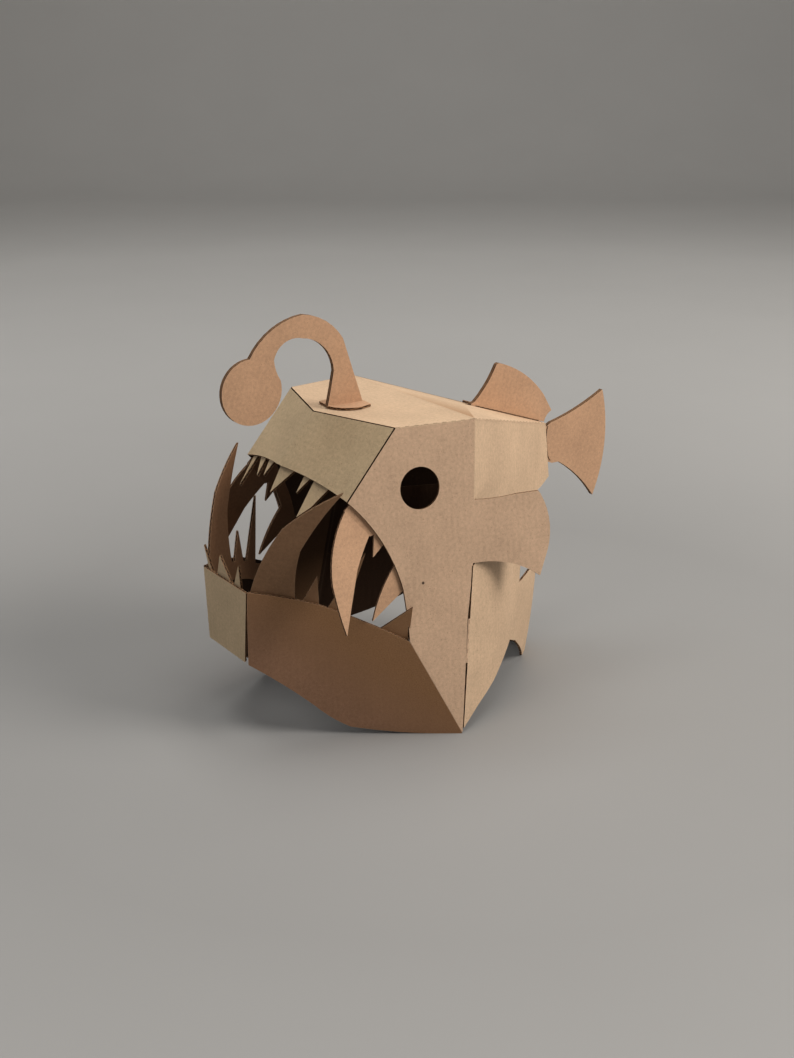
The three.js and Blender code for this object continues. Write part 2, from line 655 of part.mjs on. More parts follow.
// The fin's tab on the right side of the roof, in plan: x out from the middle line, y back
const dorsalTab = [
  { x: 0, y: 0.3767 },
  { x: 0, y: 0.5267 },
  { x: -0.0467, y: 0.5167 },
  { x: -0.07, y: 0.4533 },
  { x: -0.0667, y: 0.3767 },
];

/** The upright fin in the roof's slot. */
function dorsalFin() {
  const roof = mirroredPlane(roofSidePlane);
  const edge = dorsalTab.map((row) => {
    const point = new THREE.Vector3(row.x, row.y, 0).multiplyScalar(headHeight);
    const rise = roof.origin.clone().sub(point).dot(roof.n) / roof.n.z;
    return point.setZ(rise);
  });
  const tab = sheet(inside(roof, -liner), inPlane(roof, edge));
  return sheet(uprightPlane(), outline(dorsalRows), finThick).add(tab);
}

// Side view of the tail fin, with the tongue between the tail panels
const caudalRows = [
  { u: 0.68, v: 0.8067 },
  { u: 0.712, v: 0.8237 },
  { u: 0.9447, v: 0.9123, viaU: 0.8233, viaV: 0.8567 },
  { u: 0.918, v: 0.5213, viaU: 0.9667, viaV: 0.74 },
  { u: 0.7517, v: 0.674, viaU: 0.8283, viaV: 0.62 },
  { u: 0.7217, v: 0.6737 },
  { u: 0.68, v: 0.69 },
];

/** The tail fin between the ends of the tail panels. */
function caudalFin() {
  return sheet(uprightPlane(), outline(caudalRows), finThick);
}

/** The matching solid on the fish's right side. */
function mirrored(solid) {
  const mesh = solid.getMesh();
  const vertProperties = Float32Array.from(mesh.vertProperties, (value, i) => (i % 3 === 0 ? -value : value));
  const triVerts = Uint32Array.from(mesh.triVerts);
  for (let i = 0; i < triVerts.length; i += 3) {
    [triVerts[i], triVerts[i + 1]] = [triVerts[i + 1], triVerts[i]];
  }
  return new wasm.Manifold(new wasm.Mesh({ numProp: 3, vertProperties, triVerts }));
}

/** A named mesh from a solid, with a board colour of its own. */
function meshOf(name, solid, color) {
  const data = solid.getMesh();
  const geometry = new THREE.BufferGeometry();
  geometry.setAttribute('position', new THREE.Float32BufferAttribute(data.vertProperties, 3));
  geometry.setIndex(new THREE.Uint32BufferAttribute(data.triVerts, 1));
  geometry.computeVertexNormals();
  const material = new THREE.MeshStandardMaterial({ color, roughness: 0.85, metalness: 0 });
  const mesh = new THREE.Mesh(geometry, material);
  mesh.name = name;
  return mesh;
}

const kraft = 0xb99873;
const inner = 0xa98a66;
const mask = new THREE.Group();
mask.name = 'anglerfish_mask';

const middlePieces = {
  crown_panel: crownPanel(),
  snout_panel: snoutPanel(),
  jaw_front: jawFront(),
  tail_roof: tailRoof(),
  lure: lureSolid(),
  dorsal_fin: dorsalFin(),
  caudal_fin: caudalFin(),
};
const sidePieces = {
  cheek: leftCheek(),
  jaw_side: leftJawSide(),
  tail_panel: leftTailPanel(),
  neck_panel: leftNeckPanel(),
};
const sideTeeth = {
  upper_fangs: leftUpperFangs(),
  lower_teeth: leftLowerTeeth(),
};

for (const [name, solid] of Object.entries(middlePieces)) mask.add(meshOf(name, solid, kraft));
for (const [pieces, color] of [[sidePieces, kraft], [sideTeeth, inner]]) {
  for (const [name, solid] of Object.entries(pieces)) {
    mask.add(meshOf(`left_${name}`, solid, color));
    mask.add(meshOf(`right_${name}`, mirrored(solid), color));
  }
}
mask.add(meshOf('upper_front_teeth', upperFrontTeeth(), inner));
mask.add(meshOf('lower_front_teeth', lowerFrontTeeth(), inner));

const box = new THREE.Box3().setFromObject(mask);
const middleOfBox = box.getCenter(new THREE.Vector3());
mask.position.set(-middleOfBox.x, -middleOfBox.y, -box.min.z);

export default mask;
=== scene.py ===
"""Looks of the anglerfish head mask: corrugated kraft board, its cut edges and folds, a floor and soft light.

Metres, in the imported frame: the fish's left is +X, its mouth faces -Y, +Z is up and the floor is Z = 0.
Sizes of board and folds are given in millimetres, because board is bought and cut in millimetres.
"""

import sys
import logging
import math
from dataclasses import dataclass, field
from enum import Enum
from typing import Iterable, Optional, Union

import bpy
import numpy as np
from mathutils import Matrix, Vector


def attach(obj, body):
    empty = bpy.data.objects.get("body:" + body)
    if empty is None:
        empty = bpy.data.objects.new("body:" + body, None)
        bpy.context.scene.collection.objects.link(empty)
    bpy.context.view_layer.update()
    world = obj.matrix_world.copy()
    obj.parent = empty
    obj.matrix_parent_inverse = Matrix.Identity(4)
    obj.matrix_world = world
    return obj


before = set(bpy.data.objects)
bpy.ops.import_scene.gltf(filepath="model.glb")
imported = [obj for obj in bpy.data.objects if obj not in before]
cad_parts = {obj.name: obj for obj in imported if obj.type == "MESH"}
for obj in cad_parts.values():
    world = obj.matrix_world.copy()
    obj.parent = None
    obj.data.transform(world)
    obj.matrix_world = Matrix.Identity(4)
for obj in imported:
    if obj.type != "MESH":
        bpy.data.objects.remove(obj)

LOG = logging.getLogger("mask")
MM = 0.001
BOARD_MAP = "board_mm"

# Board and the way the model was centred
BOARD = 2.5
FLUTE_PITCH = 6.3
LINER = 0.32
CENTRE_Y = 56.31

# Corners of the head on its left side, in millimetres with the table at Z = 0, before centring
CORNERS: dict[str, tuple[float, float, float]] = {
    "crown_peak": (0.0, -76.0, 300.0),
    "crown_front": (95.5, -46.0, 300.0),
    "crown_rear": (108.5, 34.5, 300.0),
    "lip_corner": (95.6, -97.9, 237.8),
    "base": (144.0, 0.0, 0.0),
    "mouth_corner": (122.9, -47.1, 98.8),
    "chin_top": (44.0, -176.6, 149.5),
    "chin_bottom": (42.0, -174.5, 78.0),
    "rear_fold_top": (117.8, 28.2, 224.4),
    "rear_fold_fin": (125.2, 22.1, 163.7),
    "tail_top": (2.9, 207.0, 247.5),
    "roof_rise": (0.0, 100.0, 283.0),
    "neck_side": (115.6, 57.5, 30.2),
}


def corner(name: str, side: float = 1.0) -> Vector:
    """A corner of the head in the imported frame.

    Args:
        name: Key in CORNERS.
        side: 1 for the fish's left, -1 for its right.

    Returns:
        The point in metres.
    """
    x, y, z = CORNERS[name]
    return Vector((x * side, y - CENTRE_Y, z)) * MM


def linear(hex_colour: str) -> tuple[float, float, float, float]:
    """Turns an sRGB hex colour into linear RGBA."""
    values = [int(hex_colour[i:i + 2], 16) / 255 for i in (1, 3, 5)]
    turned = [v / 12.92 if v <= 0.04045 else ((v + 0.055) / 1.055) ** 2.4 for v in values]
    return (turned[0], turned[1], turned[2], 1.0)


Socket = bpy.types.NodeSocket
Value = Union[Socket, float, tuple]


@dataclass
class Graph:
    """A material's node tree."""

    tree: bpy.types.NodeTree

    def add(self, kind: str, settings: Optional[dict] = None, inputs: Optional[dict] = None,
            out: Union[int, str] = 0) -> Socket:
        """Adds one node with its settings and links.

        Args:
            kind: Blender's name of the node type.
            settings: Attribute names and their values.
            inputs: Input names or numbers, each with a constant or the socket to link.
            out: Which output is wanted.

        Returns:
            The wanted output socket, or the node's first input's node for an output node.
        """
        node = self.tree.nodes.new(kind)
        for name, value in (settings or {}).items():
            setattr(node, name, value)
        for key, value in (inputs or {}).items():
            if isinstance(value, Socket):
                self.tree.links.new(value, node.inputs[key])
            else:
                node.inputs[key].default_value = value
        return node.outputs[out] if len(node.outputs) else node.inputs[0]

    def calc(self, operation: str, *values: Value) -> Socket:
        """One arithmetic step.

        Args:
            operation: Name of the operation of Blender's Math node.
            values: Its one to three inputs.

        Returns:
            The result.
        """
        return self.add("ShaderNodeMath", {"operation": operation}, dict(enumerate(values)))


class Stock(Enum):
    """The sheets of board that the mask was cut from, by the look of their outer liner; the jaw sides' and
    the lower teeth's stocks are darkened further as painted shade.
    """

    KRAFT = "kraft"
    # Painted shade with a reddish painted reflection, for the jaw sides
    SHADED_RUSSET = "shaded_russet"
    PALE = "pale"
    OLIVE = "olive"
    WARM = "warm"
    # Painted shade: the lower teeth's face is darkened
    SHADED_TOOTH = "shaded_tooth"


@dataclass(frozen=True)
class BoardFinish:
    """Single-wall corrugated board, seen on its faces and on its cut edges.

    Colours are sRGB. Pattern sizes are in millimetres on the sheet, from the map that each piece carries:
    x across the flutes, y along them, z below the outer face.
    """

    name: str
    face: str
    inner: str
    paper: str = "#A67C57"
    hollow_shade: str = "#2B170E"
    fleck: str = "#6E4A2E"
    roughness: float = 0.86
    ior: float = 1.5
    perforated: bool = False
    mark: Optional[tuple[float, float, float]] = None
    worn_and_highlight: str = "#E4CBA9"
    knife_cut_shade: str = "#5A3A24"
    dash_step: float = 9.5

    def build(self) -> bpy.types.Material:
        """Makes the material.

        Returns:
            The new material.
        """
        material = bpy.data.materials.new(self.name)
        material.use_nodes = True
        material.node_tree.nodes.clear()
        graph = Graph(material.node_tree)
        sheet = graph.add("ShaderNodeAttribute", {"attribute_name": BOARD_MAP}, out="Vector")
        across = graph.add("ShaderNodeSeparateXYZ", inputs={0: sheet}, out=0)
        along = graph.add("ShaderNodeSeparateXYZ", inputs={0: sheet}, out=1)
        depth = graph.add("ShaderNodeSeparateXYZ", inputs={0: sheet}, out=2)
        place = graph.add("ShaderNodeNewGeometry", out="Position")
        face, relief = self._face(graph, sheet, place, across, depth)
        cut, cut_colour, cut_relief = self._cut(graph, place, across, depth)
        if self.perforated:
            face = self._perforate(graph, face, across, along)
        if self.mark is not None:
            face = self._pin_mark(graph, face, place)
        colour = graph.add("ShaderNodeMix", {"data_type": "RGBA"},
                           {"Factor": cut, "A": face, "B": cut_colour}, 2)
        colour = self._wear_and_highlight(graph, colour)
        height = graph.add("ShaderNodeMix", {"data_type": "FLOAT"},
                           {"Factor": cut, "A": relief, "B": cut_relief})
        bump = graph.add("ShaderNodeBump", inputs={"Strength": 0.55, "Distance": 0.25 * MM, "Height": height})
        fine = graph.add("ShaderNodeTexNoise", inputs={"Vector": place, "Scale": 900.0, "Detail": 2.0})
        rough = graph.calc("MULTIPLY_ADD", fine, 0.12, self.roughness - 0.06)
        shader = graph.add("ShaderNodeBsdfPrincipled", inputs={
            "Base Color": colour, "Roughness": rough, "IOR": self.ior, "Normal": bump,
            "Specular IOR Level": 0.3,
        })
        graph.add("ShaderNodeOutputMaterial", inputs={"Surface": shader})
        return material

    def _face(self, graph: Graph, sheet: Socket, place: Socket, across: Socket,
              depth: Socket) -> tuple[Socket, Socket]:
        """The liner: its fibre, its clouds and the faint lines of the flutes under it.

        Returns:
            Colour and relief of the face.
        """
        # Clouds: recycled pulp is never one brown over a whole sheet
        cloud = graph.add("ShaderNodeTexNoise", inputs={"Vector": place, "Scale": 26.0, "Detail": 4.0})
        # Mottle: clumps of pulp two to five millimetres wide
        mottle = graph.add("ShaderNodeTexNoise", inputs={"Vector": place, "Scale": 330.0, "Detail": 5.0,
                                                         "Roughness": 0.68})
        # Fibre: single hairs of wood, which make the face look grainy close up
        fibre = graph.add("ShaderNodeTexNoise", inputs={"Vector": place, "Scale": 1500.0, "Detail": 3.0})
        total = graph.calc("MULTIPLY_ADD", cloud, 0.34, -0.17)
        total = graph.calc("ADD", total, graph.calc("MULTIPLY_ADD", mottle, 0.62, -0.31))
        total = graph.calc("ADD", total, graph.calc("MULTIPLY_ADD", fibre, 0.44, -0.22))
        # Flutes: the liner sinks a few hundredths of a millimetre between the glue lines, and the faint
        # stripes this adds to the colour are painted shade of the dips
        turn = graph.calc("MULTIPLY", across, 2 * math.pi / FLUTE_PITCH)
        ridge = graph.calc("SINE", turn)
        total = graph.calc("ADD", total, graph.calc("MULTIPLY", ridge, 0.012))
        # Inner face: only the far side of a single sheet, as two glued sheets show their outer faces. Its
        # dark colour is the liner's brown darkened as painted shade of the inside of the head
        off_inner = graph.calc("ABSOLUTE", graph.calc("SUBTRACT", depth, BOARD))
        is_inner = graph.add("ShaderNodeMapRange", inputs={0: off_inner, 1: 1.2, 2: 1.3, 3: 1.0, 4: 0.0})
        base = graph.add("ShaderNodeMix", {"data_type": "RGBA"},
                         {"Factor": is_inner, "A": linear(self.face), "B": linear(self.inner)}, 2)
        shade = graph.calc("ADD", 1.0, total)
        colour = graph.add("ShaderNodeVectorMath", {"operation": "SCALE"}, {0: base, "Scale": shade})
        # Flecks: bark and dark fibre in the pulp
        fleck = graph.add("ShaderNodeTexNoise", inputs={"Vector": place, "Scale": 780.0, "Detail": 1.0})
        is_fleck = graph.add("ShaderNodeMapRange", inputs={0: fleck, 1: 0.69, 2: 0.76, 3: 0.0, 4: 0.5})
        colour = graph.add("ShaderNodeMix", {"data_type": "RGBA"},
                           {"Factor": is_fleck, "A": colour, "B": linear(self.fleck)}, 2)
        relief = graph.calc("MULTIPLY_ADD", ridge, 0.1, graph.calc("MULTIPLY", fibre, 0.55))
        relief = graph.calc("MULTIPLY_ADD", mottle, 0.35, relief)
        return colour, relief

    def _cut(self, graph: Graph, place: Socket, across: Socket,
             depth: Socket) -> tuple[Socket, Socket, Socket]:
        """The cut edge: two liners with a waved sheet between them, and hollows painted dark as the shade
        inside the flutes.

        Returns:
            Where the cut shows, its colour and its relief.
        """
        layer = graph.calc("FLOORED_MODULO", depth, BOARD)
        off = graph.calc("SUBTRACT", layer, BOARD / 2)
        from_middle = graph.calc("ABSOLUTE", off)
        cut = graph.add("ShaderNodeMapRange", inputs={
            0: from_middle, 1: BOARD / 2 - 0.06, 2: BOARD / 2 - 0.01, 3: 1.0, 4: 0.0})
        # The knife crushes the waves, so they wander a little
        sway = graph.add("ShaderNodeTexNoise", inputs={"Vector": place, "Scale": 110.0, "Detail": 2.0})
        wander = graph.calc("MULTIPLY", sway, 2.2)
        turn = graph.calc("MULTIPLY_ADD", across, 2 * math.pi / FLUTE_PITCH, wander)
        wave = graph.calc("MULTIPLY", graph.calc("SINE", turn), BOARD / 2 - LINER - 0.05)
        to_wave = graph.calc("ABSOLUTE", graph.calc("SUBTRACT", off, wave))
        in_wave = graph.add("ShaderNodeMapRange", inputs={0: to_wave, 1: 0.2, 2: 0.46, 3: 1.0, 4: 0.0})
        in_liner = graph.add("ShaderNodeMapRange", inputs={
            0: from_middle, 1: BOARD / 2 - LINER - 0.14, 2: BOARD / 2 - LINER, 3: 0.0, 4: 1.0})
        paper = graph.calc("MAXIMUM", in_wave, in_liner)
        ragged = graph.add("ShaderNodeTexNoise", inputs={"Vector": place, "Scale": 1100.0, "Detail": 4.0})
        shown = graph.calc("MULTIPLY", paper, graph.calc("MULTIPLY_ADD", ragged, 0.9, 0.45))
        # Painted shade: the flute tunnels between the paper are painted near black
        colour = graph.add("ShaderNodeMix", {"data_type": "RGBA", "clamp_factor": True},
                           {"Factor": shown, "A": linear(self.hollow_shade), "B": linear(self.paper)}, 2)
        return cut, colour, graph.calc("MULTIPLY", paper, 1.6)

    def _perforate(self, graph: Graph, face: Socket, across: Socket, along: Socket) -> Socket:
        """A row of short knife cuts along a fold, painted dark as the shade inside the cuts.

        Returns:
            The face's colour with the cuts in it.
        """
        step = graph.calc("FLOORED_MODULO", along, self.dash_step)
        in_dash = graph.add("ShaderNodeMapRange", inputs={0: step, 1: 4.2, 2: 4.5, 3: 1.0, 4: 0.0})
        aside = graph.calc("ABSOLUTE", across)
        in_line = graph.add("ShaderNodeMapRange", inputs={0: aside, 1: 0.16, 2: 0.34, 3: 0.85, 4: 0.0})
        return graph.add("ShaderNodeMix", {"data_type": "RGBA"}, {
            "Factor": graph.calc("MULTIPLY", in_dash, in_line), "A": face, "B": linear(self.knife_cut_shade)}, 2)

    def _pin_mark(self, graph: Graph, face: Socket, place: Socket) -> Socket:
        """A pin's hole in the liner, painted in the dark colour of the shade inside the flutes.

        Returns:
            The face's colour with the hole in it.
        """
        away = graph.add("ShaderNodeVectorMath", {"operation": "DISTANCE"}, {0: place, 1: self.mark}, "Value")
        hole = graph.add("ShaderNodeMapRange", inputs={0: away, 1: 1.1 * MM, 2: 1.7 * MM, 3: 0.9, 4: 0.0})
        return graph.add("ShaderNodeMix", {"data_type": "RGBA"}, {
            "Factor": hole, "A": face, "B": linear(self.hollow_shade)}, 2)

    def _wear_and_highlight(self, graph: Graph, colour: Socket) -> Socket:
        """Folds and corners made paler, partly by scuffed outer fibre and partly as a painted highlight along
        every sharp edge.

        Returns:
            The colour with the rubbed edges in it.
        """
        soft = graph.add("ShaderNodeBevel", {"samples": 4}, {"Radius": 0.7 * MM})
        sharp = graph.add("ShaderNodeNewGeometry", out="True Normal")
        agree = graph.add("ShaderNodeVectorMath", {"operation": "DOT_PRODUCT"}, {0: soft, 1: sharp}, "Value")
        # Painted highlight and scuffing: edges where the bevelled normal turns away from the true one are
        # lightened
        rubbed_and_highlit = graph.add("ShaderNodeMapRange", inputs={0: agree, 1: 0.8, 2: 0.98, 3: 0.24, 4: 0.0})
        return graph.add("ShaderNodeMix", {"data_type": "RGBA"},
                         {"Factor": rubbed_and_highlit, "A": colour, "B": linear(self.worn_and_highlight)}, 2)


@dataclass(frozen=True)
class Sheet:
    """A flat sheet of board in a CAD node: the plane of its outer face and the way its flutes run."""

    normal: Vector
    level: float
    thick: float
    flute: Vector

    @property
    def across(self) -> Vector:
        """The direction across the flutes, in the sheet."""
        return self.flute.cross(self.normal).normalized()

    def depth(self, point: Vector) -> float:
        """How far a point lies below the outer face, in millimetres."""
        return (self.level - point.dot(self.normal)) / MM

    def holds(self, points: Iterable[Vector]) -> bool:
        """Whether all the points lie in the sheet or on its faces."""
        slack = 0.12
        return all(-slack < self.depth(p) < self.thick / MM + slack for p in points)

    def on_sheet(self, point: Vector) -> Vector:
        """The point's place on the sheet, in millimetres, as BoardFinish reads it."""
        return Vector((point.dot(self.across) / MM, point.dot(self.flute) / MM, self.depth(point)))


@dataclass
class SheetFinder:
    """Finds the flat sheets in a CAD node from its largest pairs of parallel faces."""

    mesh: bpy.types.Mesh
    flute: Vector
    least_share: float = 0.012
    groups: list[list] = field(default_factory=list)

    def find(self) -> list[Sheet]:
        """Groups the faces by plane and pairs the planes.

        Returns:
            The sheets, the largest first.
        """
        for polygon in self.mesh.polygons:
            level = polygon.normal.dot(polygon.center)
            for group in self.groups:
                if group[0].dot(polygon.normal) > 0.99995 and abs(group[1] - level) < 0.08 * MM:
                    group[2] += polygon.area
                    break
            else:
                self.groups.append([polygon.normal.copy(), level, polygon.area])
        self.groups.sort(key=lambda group: -group[2])
        total = sum(group[2] for group in self.groups)
        large = [group for group in self.groups if group[2] > self.least_share * total]
        sheets: list[Sheet] = []
        for i, (normal, level, _) in enumerate(large):
            for other, other_level, _ in large[i + 1:]:
                thick = level + other_level
                if normal.dot(other) < -0.9998 and 0.8 * BOARD < thick / MM < 2.2 * BOARD:
                    sheets.append(self._sheet(normal, level, thick))
        return sheets

    def _sheet(self, normal: Vector, level: float, thick: float) -> Sheet:
        """Turns a pair of faces into a sheet whose normal points out of the head."""
        middle = Vector((0.0, 0.0, 0.15))
        if level - middle.dot(normal) < 0:
            normal, level = -normal, thick - level
        flute = (self.flute - normal * self.flute.dot(normal)).normalized()
        return Sheet(normal.copy(), level, thick, flute)


@dataclass
class FlatMap:
    """The board map of a node that is made of flat sheets."""

    flute: tuple[float, float, float]

    def values(self, mesh: bpy.types.Mesh) -> list[Vector]:
        """The place on the sheet of each corner of each face.

        Args:
            mesh: The node's mesh.

        Returns:
            One vector a loop.
        """
        sheets = SheetFinder(mesh, Vector(self.flute).normalized()).find()
        if not sheets:
            raise ValueError(f"no flat sheet was found in {mesh.name}")
        values = [Vector()] * len(mesh.loops)
        for polygon in mesh.polygons:
            points = [mesh.vertices[v].co for v in polygon.vertices]
            inside = [sheet for sheet in sheets if sheet.holds(points)] or sheets[:1]
            faces = [sheet for sheet in inside if abs(sheet.normal.dot(polygon.normal)) > 0.999]
            sheet = (faces or inside)[0]
            for loop, point in zip(polygon.loop_indices, points):
                values[loop] = sheet.on_sheet(point)
        return values


@dataclass
class CurvedMap:
    """The board map of the neck, whose flutes stand upright while the sheet bends round the head."""

    plan: tuple[tuple[float, float], ...]

    def along(self, point: Vector) -> float:
        """How far round the plan line a point lies, in millimetres."""
        spot = Vector((abs(point.x) / MM, point.y / MM + CENTRE_Y))
        best, best_gap, run = 0.0, math.inf, 0.0
        for start, end in zip(self.plan, self.plan[1:]):
            a, b = Vector(start), Vector(end)
            share = min(max((spot - a).dot(b - a) / (b - a).length_squared, 0.0), 1.0)
            gap = (a.lerp(b, share) - spot).length
            if gap < best_gap:
                best, best_gap = run + share * (b - a).length, gap
            run += (b - a).length
        return best

    def values(self, mesh: bpy.types.Mesh) -> list[Vector]:
        """The place on the sheet of each corner of each face.

        Args:
            mesh: The node's mesh.

        Returns:
            One vector a loop.
        """
        values = [Vector()] * len(mesh.loops)
        for polygon in mesh.polygons:
            points = [mesh.vertices[v].co for v in polygon.vertices]
            outward = Vector((polygon.center.x, polygon.center.y + 0.03)).normalized()
            facing = outward.dot(polygon.normal.xy)
            offsets = [outward.dot(p.xy) for p in points]
            half = (max(offsets) + min(offsets)) / 2
            for loop, point, offset in zip(polygon.loop_indices, points, offsets):
                on_face = 0.0 if facing > 0 else BOARD
                on_cut = 0.0 if offset > half else BOARD
                is_cut = abs(facing) < 0.55 and max(offsets) - min(offsets) > 0.6 * BOARD * MM
                depth = on_cut if is_cut else on_face
                values[loop] = Vector((self.along(point), point.z / MM, depth))
        return values


@dataclass
class BoardPiece:
    """A CAD node that is dressed as board."""

    node: str
    stock: Stock
    mapping: Union[FlatMap, CurvedMap]
    mark: Optional[tuple[float, float, float]] = None

    def dress(self, shelf: "Shelf") -> None:
        """Gives the node its board map and its finish.

        Args:
            shelf: Where the finishes come from.
        """
        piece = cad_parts[self.node]
        layer = piece.data.attributes.new(BOARD_MAP, "FLOAT_VECTOR", "CORNER")
        flat = np.array([tuple(value) for value in self.mapping.values(piece.data)], dtype=np.float32)
        layer.data.foreach_set("vector", flat.ravel())
        piece.data.materials.clear()
        piece.data.materials.append(shelf.finish(self.stock, mark=self.mark))
        LOG.info("dressed %s in %s board", self.node, self.stock.value)


@dataclass
class Shelf:
    """The finishes in use, each made once."""

    made: dict[tuple, bpy.types.Material] = field(default_factory=dict)

    # Face and inner colours of each stock. The dark inner colours are painted shade: they darken the inside
    # of the head and the strips behind the slit folds
    FACES = {
        Stock.KRAFT: ("#C8A88C", "#3E291A"),
        # Painted shade with a reddish painted reflection: the jaw sides' face is darkened and reddened
        Stock.SHADED_RUSSET: ("#A27B60", "#3E291A"),
        Stock.PALE: ("#CBAE90", "#3E291A"),
        Stock.OLIVE: ("#C1A987", "#3A2818"),
        Stock.WARM: ("#C49C7C", "#7A583E"),
        # Painted shade: the lower teeth's face is darkened, their inner face left lighter
        Stock.SHADED_TOOTH: ("#8E6C50", "#9E7556"),
    }

    def finish(self, stock: Stock, perforated: bool = False,
               mark: Optional[tuple[float, float, float]] = None) -> bpy.types.Material:
        """The finish of one stock.

        Args:
            stock: Which sheet of board.
            perforated: Whether a row of knife cuts runs along the piece.
            mark: A pin hole's place, in metres.

        Returns:
            The material.
        """
        key = (stock, perforated, mark)
        if key not in self.made:
            face, inner = self.FACES[stock]
            extra = ("_perforated" if perforated else "") + ("_pinned" if mark else "")
            name = f"{stock.value}_board{extra}"
            self.made[key] = BoardFinish(name, face, inner, perforated=perforated, mark=mark).build()
        return self.made[key]


class FoldKind(Enum):
    """How a fold was prepared before the board was bent."""

    PERFORATED = "perforated"
    SOFT = "soft"
    SLIT = "slit"


@dataclass(frozen=True)
class Fold:
    """The liner that runs on over a fold, outside on a bent fold and inside on a slit one.

    The two normals are those of the panels that meet. A narrow strip lies on both, just clear of them.
    """

    name: str
    kind: FoldKind
    stock: Stock
    start: Vector
    end: Vector
    first: Vector
    second: Vector
    width: float = 1.3
    lift: float = 0.07
    crease: float = 0.3
    inner_share: float = 1.6

    def build(self, shelf: Shelf) -> bpy.types.Object:
        """Makes the strip.

        Args:
            shelf: Where the finishes come from.

        Returns:
            The new piece, which rides with the mask.
        """
        run = (self.end - self.start).normalized()
        bisector = (self.first + self.second).normalized()
        sides = []
        for normal, other in ((self.first, self.second), (self.second, self.first)):
            away = run.cross(normal).normalized()
            sides.append((normal, -away if away.dot(other) > 0 else away))
        inner = self.kind is FoldKind.SLIT
        level = -(BOARD + self.lift) if inner else self.lift
        spread = 1 / max(0.3, bisector.dot(self.first))
        ridge = bisector * level * spread
        wide = self.width * (self.inner_share if inner else 1.0)
        section = [
            (sides[0][1] * wide + sides[0][0] * level, -wide),
            (sides[0][1] * self.crease + sides[0][0] * level, -self.crease),
            (ridge, 0.0),
            (sides[1][1] * self.crease + sides[1][0] * level, self.crease),
            (sides[1][1] * wide + sides[1][0] * level, wide),
        ]
        if inner:
            section = section[::2]
        length = (self.end - self.start).length
        steps = max(2, int(length / MM / 6))
        verts, maps = [], []
        for i in range(steps + 1):
            at = self.start.lerp(self.end, i / steps)
            for offset, aside in section:
                verts.append(at + offset * MM)
                # A slit's strip takes the dark inner colour, which is painted shade
                maps.append((aside, length / MM * i / steps, BOARD if inner else 0.0))
        faces = []
        n = len(section)
        for i in range(steps):
            for j in range(n - 1):
                a = i * n + j
                faces.append((a, a + 1, a + 1 + n, a + n))
        mesh = bpy.data.meshes.new(self.name)
        mesh.from_pydata(verts, [], faces)
        layer = mesh.attributes.new(BOARD_MAP, "FLOAT_VECTOR", "POINT")
        layer.data.foreach_set("vector", np.array(maps, dtype=np.float32).ravel())
        mesh.shade_smooth()
        piece = bpy.data.objects.new(self.name, mesh)
        bpy.context.scene.collection.objects.link(piece)
        mesh.materials.append(shelf.finish(self.stock, perforated=self.kind is FoldKind.PERFORATED))
        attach(piece, "root")
        LOG.info("laid %s, a %s fold", self.name, self.kind.value)
        return piece


@dataclass(frozen=True)
class SlotShade:
    """A dark strip of painted shade against the upright sheet at its slot, where the slot's gap and the
    sheet's contact shadow show, drawn as a cut edge.

    It follows points in the side view, as y and z in millimetres before centring.
    """

    name: str
    path: tuple[tuple[float, float], ...]
    rise: Vector
    out: float = 2.62
    width: float = 1.5
    first_depth: float = 0.2 * BOARD
    last_depth: float = 0.8 * BOARD

    def build(self, shelf: Shelf) -> bpy.types.Object:
        """Makes the strip of painted shade.

        Args:
            shelf: Where the finishes come from.

        Returns:
            The new piece, which rides with the mask.
        """
        # Painted shade: a dark strip on the upright sheet's face at the slot, drawn with the board's dark
        # cut-edge pattern
        points = [Vector((self.out, y - CENTRE_Y, z)) * MM for y, z in self.path]
        verts, maps, faces, run = [], [], [], 0.0
        for i, point in enumerate(points):
            run += (point - points[i - 1]).length / MM if i else 0.0
            verts += [point, point + self.rise * self.width * MM]
            maps += [(run, 0.0, self.first_depth), (run, 0.0, self.last_depth)]
            if i:
                faces.append((2 * i - 2, 2 * i - 1, 2 * i + 1, 2 * i))
        mesh = bpy.data.meshes.new(self.name)
        mesh.from_pydata(verts, [], faces)
        layer = mesh.attributes.new(BOARD_MAP, "FLOAT_VECTOR", "POINT")
        layer.data.foreach_set("vector", np.array(maps, dtype=np.float32).ravel())
        piece = bpy.data.objects.new(self.name, mesh)
        bpy.context.scene.collection.objects.link(piece)
        mesh.materials.append(shelf.finish(Stock.SHADED_RUSSET))
        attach(piece, "root")
        LOG.info("laid %s, a cut edge turned up", self.name)
        return piece


